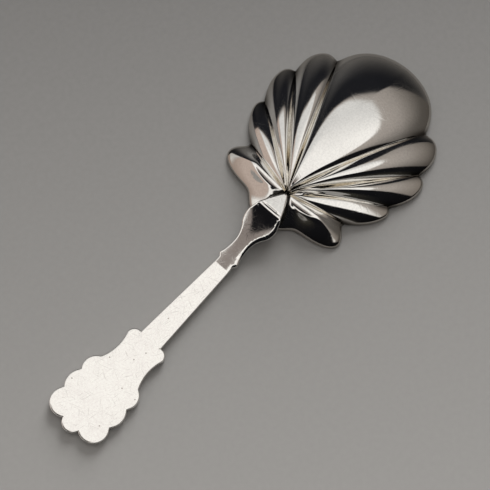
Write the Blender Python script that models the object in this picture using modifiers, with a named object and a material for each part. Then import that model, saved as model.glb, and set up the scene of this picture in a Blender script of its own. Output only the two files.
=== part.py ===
"""Shell-bowled caddy spoon lying face down: a stamped bowl, a flat handle and the solder between them.

The bowl's rim and the handle's face rest on z = 0, and +X runs along the spoon to the bowl's tip.
"""

import math

import bmesh
import bpy
from mathutils import Matrix, Vector
from mathutils.bvhtree import BVHTree

MM = 0.001

# Bowl: a shell of nine lobes whose grooves run from one low point near the heel, the umbo.
# The rim is laid out round UMBO_X on the axis; the umbo itself was struck a little aside from there.
UMBO_X = 12.08 * MM
UMBO_FORWARD = 0.36 * MM
UMBO_ASIDE = -0.92 * MM
UMBO_HEIGHT = 3.88 * MM
SHEET = 0.8 * MM
RIM_LIP = 0.9 * MM

# The dome climbs from the umbo towards the tip, falls away to both sides, and turns down at the rim.
DOME_SLOPE = 0.191
DOME_REACH = 8.7 * MM
SIDE_FALL = 0.009 / MM
TIP_FULLNESS = 2.1
SIDE_FULLNESS = 3.35
TIP_SHOULDER = 0.408
SIDE_SHOULDER = 1.0

# Along the ears and the heel the sheet is turned down like a collar, on shares of the way to the rim.
COLLAR_AT_EAR = 0.30
COLLAR_AT_HEEL = 0.56
COLLAR_SOFTNESS = 0.2
COLLAR_START = math.radians(68.0)
COLLAR_END = math.radians(84.0)
COLLAR_WIDENS_FROM = math.radians(84.5)
COLLAR_WIDENS_TO = math.radians(110.0)

# The rim through the groove ends: angles from the bowl's axis, and distances from the rim's centre.
TIP_RADIUS = 34.3 * MM
GROOVE_1_ANGLE = math.radians(21.8)
GROOVE_1_RADIUS = 31.7 * MM
GROOVE_2_ANGLE = math.radians(37.0)
GROOVE_2_RADIUS = 27.6 * MM
GROOVE_3_ANGLE = math.radians(52.5)
GROOVE_3_RADIUS = 21.0 * MM
GROOVE_4_ANGLE = math.radians(71.3)
GROOVE_4_RADIUS = 12.8 * MM
EAR_BACK_ANGLE = math.radians(112.0)
EAR_BACK_RADIUS = 7.6 * MM
HEEL_SIDE_ANGLE = math.radians(131.0)
HEEL_SIDE_RADIUS = 6.7 * MM
HEEL_RADIUS = 6.9 * MM

# The grooves: how far their inner ends swing round the umbo, and how deep and wide they are chased.
GROOVE_1_SWAY = math.radians(-0.32)
GROOVE_2_SWAY = math.radians(3.58)
GROOVE_3_SWAY = math.radians(-0.72)
GROOVE_4_SWAY = math.radians(-4.37)
GROOVE_DEPTH = 0.6 * MM
GROOVE_HALF = 0.4 * MM
NOTCH_SOFTNESS = 0.12

# How far each lobe swells outwards at the rim, and how square it is there.
CENTRE_OUT = 3.7 * MM
CENTRE_OUT_SQUARENESS = 3.8
LOBE_1_OUT = 2.5 * MM
LOBE_2_OUT = 2.6 * MM
LOBE_3_OUT = 2.8 * MM
LOBE_OUT_SQUARENESS = 2.3
EAR_OUT = 4.9 * MM
EAR_OUT_ANGLE = math.radians(91.65)
EAR_OUT_FOOT_ANGLE = math.radians(120.0)
EAR_OUT_FRONT_POWER = 1.2
EAR_OUT_BACK_POWER = 2.5
SPREAD_POWER = 3.0

# How far each lobe stands up above the dome, how square it is there, and how it comes up and leans over.
CENTRE_UP = 3.17 * MM
CENTRE_UP_SQUARENESS = 5.0
LOBE_1_UP = 2.32 * MM
LOBE_1_UP_SQUARENESS = 3.8
LOBE_2_UP = 1.51 * MM
LOBE_2_UP_SQUARENESS = 3.4
LOBE_3_UP = 0.45 * MM
LOBE_3_UP_SQUARENESS = 2.8
LOBE_SKEW = 0.3
LOBE_BULGE = 0.2
LOBE_LEAN = 2.2
EAR_UP = 1.3 * MM
EAR_CREST_ANGLE = math.radians(84.5)
EAR_RIDGE_SOFTNESS = 0.1
EAR_BULGE = 0.5
EAR_FADE_FROM = math.radians(100.0)
EAR_FADE_TO = math.radians(150.0)
RELIEF_START = 3.0 * MM

# Handle: one flat piece, soldered a little to one side of the bowl's axis and turned a little.
# Its widths are full widths, and its lengths follow one another from the lap's tip backwards.
HANDLE_ASIDE = -1.0 * MM
HANDLE_TURN = math.radians(0.83)
HANDLE_THICKNESS = 1.6 * MM
LAP_PAST_UMBO = 0.05 * MM
LAP_TIP_LENGTH = 0.35 * MM
LAP_TIP_WIDTH = 1.2 * MM
LAP_TIP_BOW = 0.12 * MM
LAP_EDGE_BOW = 0.22 * MM
LAP_EDGE_LENGTH = 6.55 * MM
LAP_WIDTH = 7.2 * MM
LAP_TIP_THICKNESS = 0.6 * MM
LAP_FALL = 0.8 * MM
CREASE_BACK = 5.1 * MM
NECK_ROUND_LENGTH = 3.1 * MM
NECK_ROUND_WIDTH = 5.25 * MM
NECK_ROUND_BOW = 0.35 * MM
NECK_TAPER_LENGTH = 3.5 * MM
NECK_TAPER_BOW = 0.3 * MM
NECK_WAIST = 3.3 * MM
NECK_FLARE_LENGTH = 2.9 * MM
NECK_FLARE_BOW = 0.12 * MM
NECK_FOOT_SLOPE = 0.225
NECK_STEEPENING = 5.0
BEND_PAST_SHOULDER = 1.9 * MM
SHOULDER_WIDTH = 4.3 * MM
SHOULDER_LENGTH = 0.6 * MM
SHOULDER_BOW = 0.1 * MM
SHOULDER_STEP = 0.5 * MM
STEM_LENGTH = 21.2 * MM
STEM_FRONT_WIDTH = 3.5 * MM
STEM_BACK_WIDTH = 5.1 * MM
TAB_WIDTH = 9.0 * MM
TAB_LENGTH = 1.7 * MM
TAB_BOW = 0.65 * MM
HOLLOW_LENGTH = 6.95 * MM
HOLLOW_BOW = 0.7 * MM
TERMINAL_ROOT_WIDTH = 9.8 * MM
TERMINAL_NOTCH_WIDTH = 11.9 * MM
SIDE_LOBE_1_LENGTH = 4.3 * MM
SIDE_LOBE_1_BOW = 1.1 * MM
SIDE_LOBE_2_LENGTH = 4.7 * MM
SIDE_LOBE_2_BOW = 0.93 * MM
CORNER_LENGTH = 4.45 * MM
CORNER_BOW = 2.65 * MM
END_NOTCH_WIDTH = 4.0 * MM
END_LOBE_LENGTH = 1.45 * MM
END_LOBE_BOW = 0.4 * MM

# Solder: a thin skin that follows the bowl's back under the lap and shows as a line around it.
SOLDER_THICKNESS = 0.2 * MM
SOLDER_SHOWING = 0.3 * MM
SOLDER_LENGTH = 4.6 * MM
JOINT_GAP = 0.12 * MM

SILVER = (0.90, 0.88, 0.85, 1.0)
SOLDER_GREY = (0.62, 0.60, 0.57, 1.0)
BOWL_ROUGHNESS = 0.08
HANDLE_ROUGHNESS = 0.15
SOLDER_ROUGHNESS = 0.35

# Points nearer than this are one point, and this is clear above the whole spoon.
MERGE = 0.001 * MM
ABOVE_ALL = 20.0 * MM

# Steps of the bowl's grid: columns across each lobe and rows from the umbo to the rim.
LOBE_COLUMNS = 9
EAR_FRONT_COLUMNS = 6
EAR_BACK_COLUMNS = 10
HEEL_COLUMNS = 8
ROWS = 16
ROW_CROWDING = 1.6

# Steps of the handle: points along each arc of its edge, and cuts where it bends.
ARC_STEPS = 6
LAP_CUTS = 6
NECK_CUTS = 9
SIDE_CUTS = 4


def clear_scene():
    for old in list(bpy.data.objects):
        bpy.data.objects.remove(old)


def silver_material(name, colour, roughness):
    material = bpy.data.materials.new(name)
    material.use_nodes = True
    shader = material.node_tree.nodes["Principled BSDF"]
    shader.inputs["Base Color"].default_value = colour
    shader.inputs["Metallic"].default_value = 1.0
    shader.inputs["Roughness"].default_value = roughness
    return material


def add_part(name, mesh, material, collection):
    part = bpy.data.objects.new(name, mesh)
    part.data.materials.append(material)
    collection.objects.link(part)
    return part


def spread(start, end, count):
    return [start + (end - start) * step / count for step in range(count + 1)]


# Bowl


def groove_radius(turn):
    """Distance from the rim's centre to the rim through the groove ends, on one smooth curve."""
    knots = [
        (-GROOVE_1_ANGLE, GROOVE_1_RADIUS),
        (0.0, TIP_RADIUS),
        (GROOVE_1_ANGLE, GROOVE_1_RADIUS),
        (GROOVE_2_ANGLE, GROOVE_2_RADIUS),
        (GROOVE_3_ANGLE, GROOVE_3_RADIUS),
        (GROOVE_4_ANGLE, GROOVE_4_RADIUS),
        (EAR_BACK_ANGLE, EAR_BACK_RADIUS),
        (HEEL_SIDE_ANGLE, HEEL_SIDE_RADIUS),
        (math.pi, HEEL_RADIUS),
        (2.0 * math.pi - HEEL_SIDE_ANGLE, HEEL_SIDE_RADIUS),
    ]
    for before, start, end, after in zip(knots, knots[1:], knots[2:], knots[3:]):
        if turn <= end[0]:
            break
    span = end[0] - start[0]
    leave = (end[1] - before[1]) / (end[0] - before[0]) * span
    arrive = (after[1] - start[1]) / (after[0] - start[0]) * span
    s = (turn - start[0]) / span
    rise = start[1] + s * leave + s * s * (3.0 * (end[1] - start[1]) - 2.0 * leave - arrive)
    return rise + s * s * s * (2.0 * (start[1] - end[1]) + leave + arrive)


def lobe_out(turn):
    """How far the lobe at this angle stands out past the line of the groove ends."""
    lobes = (
        (-GROOVE_1_ANGLE, GROOVE_1_ANGLE, CENTRE_OUT, CENTRE_OUT_SQUARENESS),
        (GROOVE_1_ANGLE, GROOVE_2_ANGLE, LOBE_1_OUT, LOBE_OUT_SQUARENESS),
        (GROOVE_2_ANGLE, GROOVE_3_ANGLE, LOBE_2_OUT, LOBE_OUT_SQUARENESS),
        (GROOVE_3_ANGLE, GROOVE_4_ANGLE, LOBE_3_OUT, LOBE_OUT_SQUARENESS),
    )
    for start, end, out, squareness in lobes:
        if turn <= end:
            across = 2.0 * (turn - start) / (end - start) - 1.0
            return out * math.hypot(1.0 - abs(across) ** squareness, NOTCH_SOFTNESS)
    if turn >= EAR_OUT_FOOT_ANGLE:
        return 0.0
    if turn > EAR_OUT_ANGLE:
        past = (turn - EAR_OUT_ANGLE) / (EAR_OUT_FOOT_ANGLE - EAR_OUT_ANGLE)
        return EAR_OUT * math.cos(0.5 * math.pi * past) ** EAR_OUT_BACK_POWER
    before = (turn - GROOVE_4_ANGLE) / (EAR_OUT_ANGLE - GROOVE_4_ANGLE)
    arch = math.sin(0.5 * math.pi * before) ** EAR_OUT_FRONT_POWER
    return EAR_OUT * math.hypot(arch, NOTCH_SOFTNESS)


def eased(turn, start, end):
    """Goes smoothly from 0 at the start angle to 1 at the end angle."""
    part = min(max((turn - start) / (end - start), 0.0), 1.0)
    return part * part * (3.0 - 2.0 * part)


def lower_of(part, softness):
    """The part itself while it is under 1, and then 1, with the corner rounded."""
    return 0.5 * (part + 1.0 - math.hypot(part - 1.0, softness))


def collar(share, turn):
    """How much of the height is left where the ears and the heel are turned down towards the rim."""
    widening = eased(turn, COLLAR_WIDENS_FROM, COLLAR_WIDENS_TO)
    width = COLLAR_AT_EAR + (COLLAR_AT_HEEL - COLLAR_AT_EAR) * widening
    return lower_of((1.0 - share) / width, COLLAR_SOFTNESS)


def lobe_up(share, turn):
    """How far the lobe at this place stands up above the dome."""
    lobes = (
        (-GROOVE_1_ANGLE, GROOVE_1_ANGLE, CENTRE_UP, CENTRE_UP_SQUARENESS, 0.0),
        (GROOVE_1_ANGLE, GROOVE_2_ANGLE, LOBE_1_UP, LOBE_1_UP_SQUARENESS, LOBE_SKEW),
        (GROOVE_2_ANGLE, GROOVE_3_ANGLE, LOBE_2_UP, LOBE_2_UP_SQUARENESS, LOBE_SKEW),
        (GROOVE_3_ANGLE, GROOVE_4_ANGLE, LOBE_3_UP, LOBE_3_UP_SQUARENESS, LOBE_SKEW),
    )
    for start, end, up, squareness, skew in lobes:
        if turn <= end:
            across = 2.0 * (turn - start) / (end - start) - 1.0
            across += skew * (1.0 - across * across)
            lean = math.cos(0.5 * math.pi * share ** LOBE_LEAN)
            return up * share ** LOBE_BULGE * lean * (1.0 - abs(across) ** squareness)
    climb = lower_of((turn - GROOVE_4_ANGLE) / (EAR_CREST_ANGLE - GROOVE_4_ANGLE), EAR_RIDGE_SOFTNESS)
    fade = 1.0 - eased(turn, EAR_FADE_FROM, EAR_FADE_TO)
    return EAR_UP * share ** EAR_BULGE * climb * collar(share, turn) * fade


def groove_cut(share, reach, turn):
    """How deep the nearest groove is cut at this place."""
    bottoms = (GROOVE_1_ANGLE, GROOVE_2_ANGLE, GROOVE_3_ANGLE, GROOVE_4_ANGLE)
    nearest = min(abs(turn - angle) for angle in bottoms)
    distance = reach * math.sin(min(nearest, 0.5 * math.pi))
    lean = math.cos(0.5 * math.pi * share ** LOBE_LEAN)
    return GROOVE_DEPTH * lean * math.exp(-((distance / GROOVE_HALF) ** 2))


def groove_sway(turn):
    """How far the grooves' inner ends swing round the umbo at this angle."""
    sways = (
        (0.0, 0.0),
        (GROOVE_1_ANGLE, GROOVE_1_SWAY),
        (GROOVE_2_ANGLE, GROOVE_2_SWAY),
        (GROOVE_3_ANGLE, GROOVE_3_SWAY),
        (GROOVE_4_ANGLE, GROOVE_4_SWAY),
        (EAR_BACK_ANGLE, 0.0),
        (math.pi, 0.0),
    )
    for (start, sway), (end, next_sway) in zip(sways, sways[1:]):
        if turn <= end:
            break
    return sway + (next_sway - sway) * (turn - start) / (end - start)


def dome_height(share, turn):
    """Height of the bowl's back under its lobes and grooves, at a share of the way to the rim."""
    along = groove_radius(turn) * share * math.cos(turn)
    aside = groove_radius(turn) * share * math.sin(turn)
    crown = UMBO_HEIGHT + DOME_SLOPE * along / math.hypot(1.0, along / DOME_REACH)
    crown -= SIDE_FALL * aside * aside
    side = min(turn / GROOVE_4_ANGLE, 1.0)
    fullness = TIP_FULLNESS + (SIDE_FULLNESS - TIP_FULLNESS) * side
    shoulder = TIP_SHOULDER + (SIDE_SHOULDER - TIP_SHOULDER) * side
    fall = (1.0 - share ** fullness) ** shoulder
    fall += (collar(share, turn) - fall) * eased(turn, COLLAR_START, COLLAR_END)
    return RIM_LIP + (crown - RIM_LIP) * fall


def bowl_point(share, angle):
    """A point of the bowl's back, at a share of the way from the umbo to the rim."""
    turn = abs(angle)
    reach = groove_radius(turn) * share + lobe_out(turn) * share ** SPREAD_POWER
    relief = lobe_up(share, turn) - groove_cut(share, reach, turn)
    height = dome_height(share, turn) + relief * (1.0 - math.exp(-((reach / RELIEF_START) ** 2)))
    swung = angle + math.copysign(groove_sway(turn) * (1.0 - share), angle)
    x = UMBO_X + UMBO_FORWARD * (1.0 - share) + reach * math.cos(swung)
    y = UMBO_ASIDE * (1.0 - share) + reach * math.sin(swung)
    return Vector((x, y, height))


def bowl_columns():
    """The grid's angles round the umbo, with one along each groove."""
    stops = [0.0, GROOVE_1_ANGLE, GROOVE_2_ANGLE, GROOVE_3_ANGLE, GROOVE_4_ANGLE]
    stops += [EAR_CREST_ANGLE, EAR_OUT_FOOT_ANGLE, math.pi]
    counts = [LOBE_COLUMNS] * 4 + [EAR_FRONT_COLUMNS, EAR_BACK_COLUMNS, HEEL_COLUMNS]
    half = []
    for start, end, count in zip(stops, stops[1:], counts):
        half += spread(start, end, count)[1:]
    return [-angle for angle in reversed(half)] + [0.0] + half


def bowl_back():
    """The back as a grid in angle and distance from the umbo, turned down to the table at the rim."""
    angles = bowl_columns()
    shares = [1.0 - (1.0 - row / ROWS) ** ROW_CROWDING for row in range(ROWS + 1)]
    columns = len(angles)
    rows = ROWS + 2
    back = bmesh.new()
    bmesh.ops.create_grid(back, x_segments=columns - 1, y_segments=rows - 1, size=1.0)
    for vert in back.verts:
        column = round((vert.co.x + 1.0) / 2.0 * (columns - 1))
        row = round((vert.co.y + 1.0) / 2.0 * (rows - 1))
        vert.co = bowl_point(shares[min(row, ROWS)], angles[column])
        if row > ROWS:
            vert.co.z = 0.0
    bmesh.ops.remove_doubles(back, verts=back.verts, dist=MERGE)
    bmesh.ops.recalc_face_normals(back, faces=back.faces)
    if sum(face.normal.z for face in back.faces) < 0.0:
        bmesh.ops.reverse_faces(back, faces=back.faces)
    return back


def make_bowl(back, collection):
    """The back, given the sheet's thickness."""
    mesh = bpy.data.meshes.new("bowl")
    back.to_mesh(mesh)
    mesh.shade_smooth()
    material = silver_material("polished_silver_bowl", SILVER, BOWL_ROUGHNESS)
    bowl = add_part("bowl", mesh, material, collection)
    wall = bowl.modifiers.new("sheet", "SOLIDIFY")
    wall.thickness = SHEET
    wall.offset = -1.0
    return bowl


# Handle and solder


def arc_points(start, end, bow):
    """Points after start on the arc to end, which swells by bow to the right of the way."""
    if bow == 0.0:
        return [end]
    chord = end - start
    half = 0.5 * chord.length
    right = Vector((chord.y, -chord.x)).normalized()
    radius = (half * half + bow * bow) / (2.0 * bow)
    centre = start + 0.5 * chord + right * (bow - radius)
    opening = 4.0 * math.atan(bow / half)
    points = []
    for step in range(1, ARC_STEPS + 1):
        arm = start - centre
        arm.rotate(Matrix.Rotation(opening * step / ARC_STEPS, 2))
        points.append(centre + arm)
    return points


def half_outline(stops):
    """Points through stops: a distance back from the lap's tip, a half width and the next arc's bow."""
    path = [Vector((-stops[0][0], stops[0][1]))]
    for (_, _, bow), (back, half, _) in zip(stops, stops[1:]):
        path += arc_points(path[-1], Vector((-back, half)), bow)
    return path


def handle_stops():
    """The handle's edge on one side, from the lap's tip to the middle of its far end."""
    steps = (
        (0.0, 0.0, LAP_TIP_BOW),
        (LAP_TIP_LENGTH, LAP_TIP_WIDTH, LAP_EDGE_BOW),
        (LAP_EDGE_LENGTH, LAP_WIDTH, NECK_ROUND_BOW),
        (NECK_ROUND_LENGTH, NECK_ROUND_WIDTH, -NECK_TAPER_BOW),
        (NECK_TAPER_LENGTH, NECK_WAIST, -NECK_FLARE_BOW),
        (NECK_FLARE_LENGTH, SHOULDER_WIDTH, SHOULDER_BOW),
        (SHOULDER_LENGTH, SHOULDER_WIDTH, 0.0),
        (SHOULDER_STEP, STEM_FRONT_WIDTH, 0.0),
        (STEM_LENGTH, STEM_BACK_WIDTH, TAB_BOW),
        (TAB_LENGTH, TAB_WIDTH, -HOLLOW_BOW),
        (HOLLOW_LENGTH, TERMINAL_ROOT_WIDTH, SIDE_LOBE_1_BOW),
        (SIDE_LOBE_1_LENGTH, TERMINAL_NOTCH_WIDTH, SIDE_LOBE_2_BOW),
        (SIDE_LOBE_2_LENGTH, TERMINAL_NOTCH_WIDTH, CORNER_BOW),
        (CORNER_LENGTH, END_NOTCH_WIDTH, END_LOBE_BOW),
        (END_LOBE_LENGTH, 0.0, 0.0),
    )
    back = 0.0
    stops = []
    for length, width, bow in steps:
        back += length
        stops.append((back, 0.5 * width, bow))
    return stops


def bend_back():
    """Distance from the lap's tip to the bend between neck and stem."""
    lap = LAP_TIP_LENGTH + LAP_EDGE_LENGTH
    neck = NECK_ROUND_LENGTH + NECK_TAPER_LENGTH + NECK_FLARE_LENGTH
    return lap + neck + SHOULDER_LENGTH + SHOULDER_STEP + BEND_PAST_SHOULDER


def solder_stops():
    """The solder's edge on one side: the lap's own edge, grown by what shows."""
    along = (SOLDER_LENGTH - LAP_TIP_LENGTH) / LAP_EDGE_LENGTH
    half = 0.5 * (LAP_TIP_WIDTH + (LAP_WIDTH - LAP_TIP_WIDTH) * along)
    return (
        (-SOLDER_SHOWING, 0.0, LAP_TIP_BOW),
        (LAP_TIP_LENGTH - SOLDER_SHOWING, 0.5 * LAP_TIP_WIDTH + SOLDER_SHOWING, LAP_EDGE_BOW),
        (SOLDER_LENGTH, half + SOLDER_SHOWING, 0.0),
        (SOLDER_LENGTH, 0.0, 0.0),
    )


def bowl_back_at(surface, place):
    """Height of the bowl's back above a place on the table, or 0 beside the bowl."""
    hit = surface.ray_cast(Vector((place.x, place.y, ABOVE_ALL)), Vector((0.0, 0.0, -1.0)))[0]
    return hit.z if hit else 0.0


def lap_seat(surface, place):
    """Height of the lap's underside where it sits on the solder."""
    return bowl_back_at(surface, place) + JOINT_GAP + SOLDER_THICKNESS + JOINT_GAP


def handle_over(surface, back):
    """Height of the handle's back: a lap that falls to its tip, a neck, and a flat stem."""
    tip = lap_seat(surface, handle_place().translation) + LAP_TIP_THICKNESS
    crease = tip + LAP_FALL
    if back <= CREASE_BACK:
        return tip + LAP_FALL * back / CREASE_BACK
    if back >= bend_back():
        return HANDLE_THICKNESS
    length = bend_back() - CREASE_BACK
    climb = (bend_back() - back) / length
    foot = NECK_FOOT_SLOPE * length
    rest = crease - HANDLE_THICKNESS - foot
    return HANDLE_THICKNESS + foot * climb + rest * climb ** (NECK_STEEPENING + 1.0)


def handle_under(surface, back, place):
    """Height of the handle's face: on the table under the stem, on the solder under the lap."""
    if back <= SOLDER_LENGTH:
        return lap_seat(surface, place)
    plain = handle_over(surface, back) - HANDLE_THICKNESS
    return max(plain, lap_seat(surface, place)) if bowl_back_at(surface, place) else plain


def handle_place():
    tip = Vector((UMBO_X + LAP_PAST_UMBO, HANDLE_ASIDE, 0.0))
    return Matrix.Translation(tip) @ Matrix.Rotation(HANDLE_TURN, 4, "Z")


def plate_from_outline(name, path, cuts_back, cuts_side):
    """A flat plate inside a half outline and its mirror image, cut where it will bend."""
    mirrored = [Vector((point.x, -point.y)) for point in reversed(path) if point.y > 0.0]
    outline = path + mirrored
    curve = bpy.data.curves.new(name, "CURVE")
    curve.dimensions = "2D"
    curve.fill_mode = "BOTH"
    curve.extrude = 0.5 * HANDLE_THICKNESS
    spline = curve.splines.new("POLY")
    spline.points.add(len(outline) - 1)
    for knot, point in zip(spline.points, outline):
        knot.co = (point.x, point.y, 0.0, 1.0)
    spline.use_cyclic_u = True
    drawn = bpy.data.objects.new(name + "_outline", curve)
    bpy.context.scene.collection.objects.link(drawn)
    seen = drawn.evaluated_get(bpy.context.evaluated_depsgraph_get())
    mesh = bpy.data.meshes.new_from_object(seen)
    bpy.data.objects.remove(drawn)
    plate = bmesh.new()
    plate.from_mesh(mesh)
    bmesh.ops.remove_doubles(plate, verts=plate.verts, dist=MERGE)
    cuts = [(Vector((-back, 0.0, 0.0)), Vector((1.0, 0.0, 0.0))) for back in cuts_back]
    cuts += [(Vector((0.0, side, 0.0)), Vector((0.0, 1.0, 0.0))) for side in cuts_side]
    for point, normal in cuts:
        whole = plate.verts[:] + plate.edges[:] + plate.faces[:]
        bmesh.ops.bisect_plane(plate, geom=whole, dist=MERGE, plane_co=point, plane_no=normal)
    bmesh.ops.recalc_face_normals(plate, faces=plate.faces)
    return mesh, plate


def finish_plate(name, mesh, plate, material, collection):
    bmesh.ops.triangulate(plate, faces=plate.faces)
    plate.to_mesh(mesh)
    plate.free()
    mesh.name = name
    part = add_part(name, mesh, material, collection)
    part.location = handle_place().translation
    part.rotation_euler.z = HANDLE_TURN
    return part


def make_handle(surface, collection):
    """The flat outline, cut across the neck and lap and bent up onto the bowl's back."""
    lap_cuts = spread(LAP_TIP_LENGTH, CREASE_BACK, LAP_CUTS)
    neck_cuts = spread(CREASE_BACK, bend_back(), NECK_CUTS)[1:]
    side_cuts = spread(-0.5 * NECK_WAIST, 0.5 * NECK_WAIST, SIDE_CUTS)
    path = half_outline(handle_stops())
    mesh, plate = plate_from_outline("handle", path, lap_cuts + neck_cuts, side_cuts)
    for vert in plate.verts:
        back = -vert.co.x
        if vert.co.z > 0.0:
            vert.co.z = handle_over(surface, back)
        else:
            vert.co.z = handle_under(surface, back, handle_place() @ vert.co)
    material = silver_material("silver_handle", SILVER, HANDLE_ROUGHNESS)
    return finish_plate("handle", mesh, plate, material, collection)


def make_solder(surface, collection):
    """The skin of solder between the bowl's back and the lap."""
    path = half_outline(solder_stops())
    side = 0.5 * LAP_WIDTH
    cuts_back = spread(0.0, SOLDER_LENGTH, LAP_CUTS)[:-1]
    mesh, plate = plate_from_outline("solder_seam", path, cuts_back, spread(-side, side, 2 * SIDE_CUTS))
    for vert in plate.verts:
        under = bowl_back_at(surface, handle_place() @ vert.co) + JOINT_GAP
        vert.co.z = under + SOLDER_THICKNESS if vert.co.z > 0.0 else under
    material = silver_material("silver_solder", SOLDER_GREY, SOLDER_ROUGHNESS)
    return finish_plate("solder_seam", mesh, plate, material, collection)


clear_scene()
spoon = bpy.data.collections.new("caddy_spoon")
bpy.context.scene.collection.children.link(spoon)
shell = bowl_back()
shell_surface = BVHTree.FromBMesh(shell)
make_bowl(shell, spoon)
make_handle(shell_surface, spoon)
make_solder(shell_surface, spoon)
shell.free()
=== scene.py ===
"""Looks of a shell-bowled caddy spoon lying face down on a table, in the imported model's frame."""

import math

import bpy
from mathutils import Matrix, Vector


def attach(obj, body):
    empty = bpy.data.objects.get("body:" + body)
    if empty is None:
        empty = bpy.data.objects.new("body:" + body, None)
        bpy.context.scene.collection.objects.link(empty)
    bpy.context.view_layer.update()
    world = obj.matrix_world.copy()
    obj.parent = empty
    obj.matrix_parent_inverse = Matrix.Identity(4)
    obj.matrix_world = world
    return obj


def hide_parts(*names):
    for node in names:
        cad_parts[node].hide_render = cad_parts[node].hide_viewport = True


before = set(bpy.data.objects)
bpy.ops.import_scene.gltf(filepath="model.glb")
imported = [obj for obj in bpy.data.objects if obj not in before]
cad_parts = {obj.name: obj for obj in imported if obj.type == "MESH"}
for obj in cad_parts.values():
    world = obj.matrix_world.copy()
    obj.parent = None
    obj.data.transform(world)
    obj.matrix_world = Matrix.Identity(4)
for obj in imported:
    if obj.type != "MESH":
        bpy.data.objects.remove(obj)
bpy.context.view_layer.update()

# Bowl: a scallop shell of nine lobes, struck from silver sheet and chased along its grooves from the back.
# Its rim lies on the table, and its grooves run in to one low place, the umbo, under the handle's lap.
MM = 0.001
UMBO_X = 12.08 * MM
UMBO_SHIFT = Vector((0.36 * MM, -0.92 * MM))
UMBO_HEIGHT = 3.88 * MM
SHEET = 0.8 * MM
RIM_LIP = 0.9 * MM
RIM_ROLL = 0.5 * MM
RIM_ROUND = 0.2 * MM

# The line of the rim through the groove ends: angles seen from the umbo, and distances.
TIP_RADIUS = 34.3 * MM
GROOVE_ANGLES = [math.radians(degrees) for degrees in (21.8, 37.0, 52.5, 71.3)]
GROOVE_RADII = [31.7 * MM, 27.6 * MM, 21.0 * MM, 12.8 * MM]
EAR = len(GROOVE_ANGLES)
EAR_BACK_ANGLE = math.radians(112.0)
EAR_BACK_RADIUS = 7.6 * MM
HEEL_SIDE_ANGLE = math.radians(131.0)
HEEL_SIDE_RADIUS = 6.7 * MM
HEEL_RADIUS = 6.9 * MM

# How far the lobes swell past that line, from the middle one outwards, and how square they are.
LOBE_OUT = [3.7 * MM, 2.5 * MM, 2.6 * MM, 2.8 * MM]
LOBE_OUT_SQUARENESS = [3.8, 2.3, 2.3, 2.3]
EAR_OUT = 4.9 * MM
EAR_OUT_ANGLE = math.radians(91.65)
EAR_OUT_FOOT_ANGLE = math.radians(135.0)
EAR_OUT_FRONT = 1.2
EAR_OUT_BACK = 6.2
NOTCH_SOFTNESS = 0.12
SPREAD_POWER = 3.0

# The dome: it climbs from the umbo towards the tip, falls away to both sides, and turns down at the rim.
DOME_SLOPE = 0.191
DOME_REACH = 8.7 * MM
SIDE_FALL = 0.009 / MM
TIP_FULLNESS = 2.1
SIDE_FULLNESS = 3.35
TIP_SHOULDER = 0.408
SIDE_SHOULDER = 1.0

# The lobes' rise above the dome, from the middle one outwards, on the far side and on the near one.
LOBE_FAR_UP = [2.72 * MM, 2.0 * MM, 1.51 * MM, 0.9 * MM]
LOBE_NEAR_UP = [2.72 * MM, 2.4 * MM, 1.8 * MM, 0.6 * MM]
LOBE_FAR_SQUARENESS = [5.03, 2.4, 2.3, 1.5]
LOBE_NEAR_SQUARENESS = [5.03, 2.1, 1.7, 2.0]
LOBE_FAR_SKEW = [0.0, 0.1, 0.1, 0.1]
LOBE_NEAR_SKEW = [0.0, -0.3, 0.0, 0.0]
LOBE_FAR_LEAN = [2.2, 3.5, 4.2, 4.0]
LOBE_NEAR_LEAN = [2.2, 1.6, 1.6, 1.6]
LOBE_BULGE = [0.05, 0.2, 0.2, 0.2]
RELIEF_START = 0.5 * MM

# The ears: a ridge on each side of the heel, and a collar that turns ears and heel down towards the rim.
EAR_UP = 1.3 * MM
EAR_CREST_ANGLE = math.radians(84.5)
EAR_RIDGE_SOFTNESS = 0.1
EAR_BULGE = 0.5
EAR_BLEND_ANGLES = (math.radians(68.0), math.radians(84.0))
HEEL_BLEND_ANGLES = (math.radians(100.0), math.radians(150.0))
COLLAR_AT_EAR = 0.30
COLLAR_AT_HEEL = 0.56
COLLAR_BLEND_ANGLES = (math.radians(84.5), math.radians(110.0))
COLLAR_SOFTNESS = 0.2

# The narrow grooves chased between the lobes. The first lies higher, by this much on far and near side.
GROOVE_LIFT = (1.0 * MM, 1.26 * MM)
GROOVE_DEPTH = 0.35 * MM
GROOVE_HALF = 0.16 * MM
GROOVE_SQUARENESS = 2.12
GROOVE_LEAN = 2.2
GROOVE_SWAY = [math.radians(degrees) for degrees in (-0.32, 3.58, -0.72, -4.37)]

# The grooves come out softer inside. Close to the umbo the sheet's thickness is measured straight down.
INSIDE_GROOVE_DEPTH = 0.6 * GROOVE_DEPTH
INSIDE_GROOVE_HALF = 2.0 * GROOVE_HALF
INSIDE_LEVEL_SHARE = 0.15
INSIDE_MIDDLE_SHARE = 0.03
INSIDE_PROBE = 0.004

# Tarnish in the grooves, which wears off faster inside.
TARNISH_HALF = 1.6 * GROOVE_HALF
TARNISH_INSIDE = 0.4

# Painted shade darkening the rim's notches, where the lobes meet above the table: half its width, and the
# shares over which it comes in.
NOTCH_HALF = 0.8 * MM
NOTCH_SHARES = (0.74, 0.97)

# Steps of the mesh.
CENTRE_COLUMNS = 44
LOBE_COLUMNS = 36
EAR_COLUMNS = 44
HEEL_COLUMNS = 20
BACK_ROWS = 72
INSIDE_ROWS = 30
COLUMN_CROWDING = 0.6
ROW_CROWDING = 1.6
RIM_ROUND_STEPS = [(0.0, 1.0), (0.3, 0.3), (1.0, 0.0)]
WELD_DISTANCE = 0.001 * MM
BOWL_CREASE_ANGLE = math.radians(60.0)


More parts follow.
